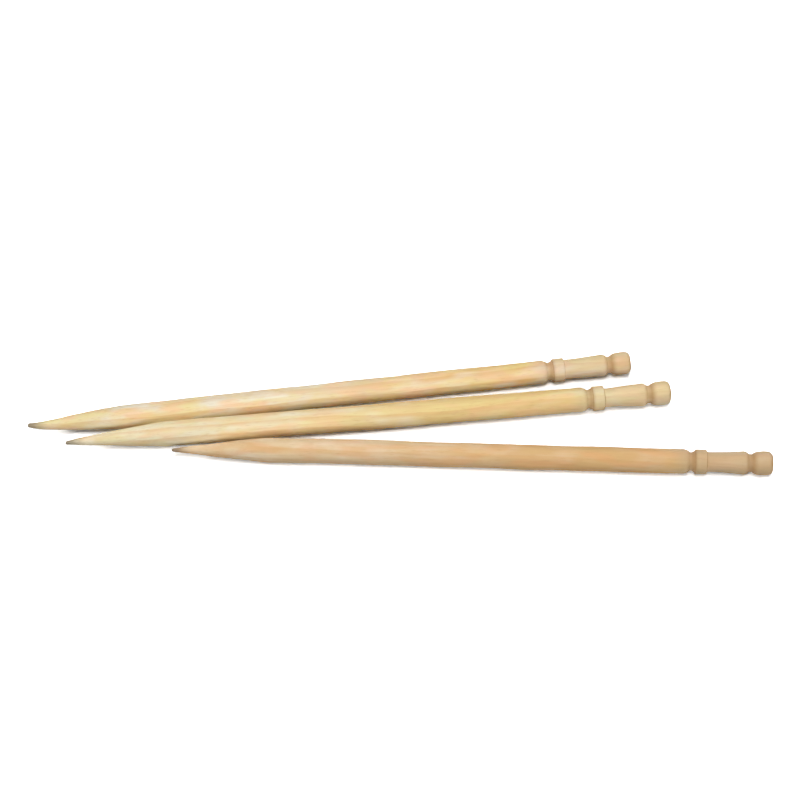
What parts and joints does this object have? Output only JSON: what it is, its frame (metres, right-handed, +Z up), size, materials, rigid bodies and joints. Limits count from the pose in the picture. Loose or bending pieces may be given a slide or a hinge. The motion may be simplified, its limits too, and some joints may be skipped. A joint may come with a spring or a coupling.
{
  "type": "toothpick",
  "caption": "Round wooden toothpicks with a tapered point and a turned head, lying side by side in a loose fan.",
  "frame": {"origin": "centre of the set's bounding box in plan, on the surface that the picks lie on", "axes": "+X towards the turned heads, +Y towards the rear pick, +Z up"},
  "size_m": [0.0792, 0.0158, 0.0027],
  "materials": {
    "rear_wood": "turned and lightly tumbled, unvarnished, matt",
    "middle_wood": "turned and lightly tumbled, unvarnished, matt",
    "front_wood": "turned and lightly tumbled, unvarnished, matt"
  },
  "bodies": {
    "middle_pick": {"middle_toothpick": "middle_wood"},
    "rear_pick": {"rear_toothpick": "rear_wood"},
    "front_pick": {"front_toothpick": "front_wood"}
  },
  "joints": [
    {"name": "rear_lift", "type": "slide", "parent": "middle_pick", "child": "rear_pick", "axis": [0, 0, 1], "range_m": [0, 0.02]},
    {"name": "front_lift", "type": "slide", "parent": "middle_pick", "child": "front_pick", "axis": [0, 0, 1], "range_m": [0, 0.02]}
  ]
}
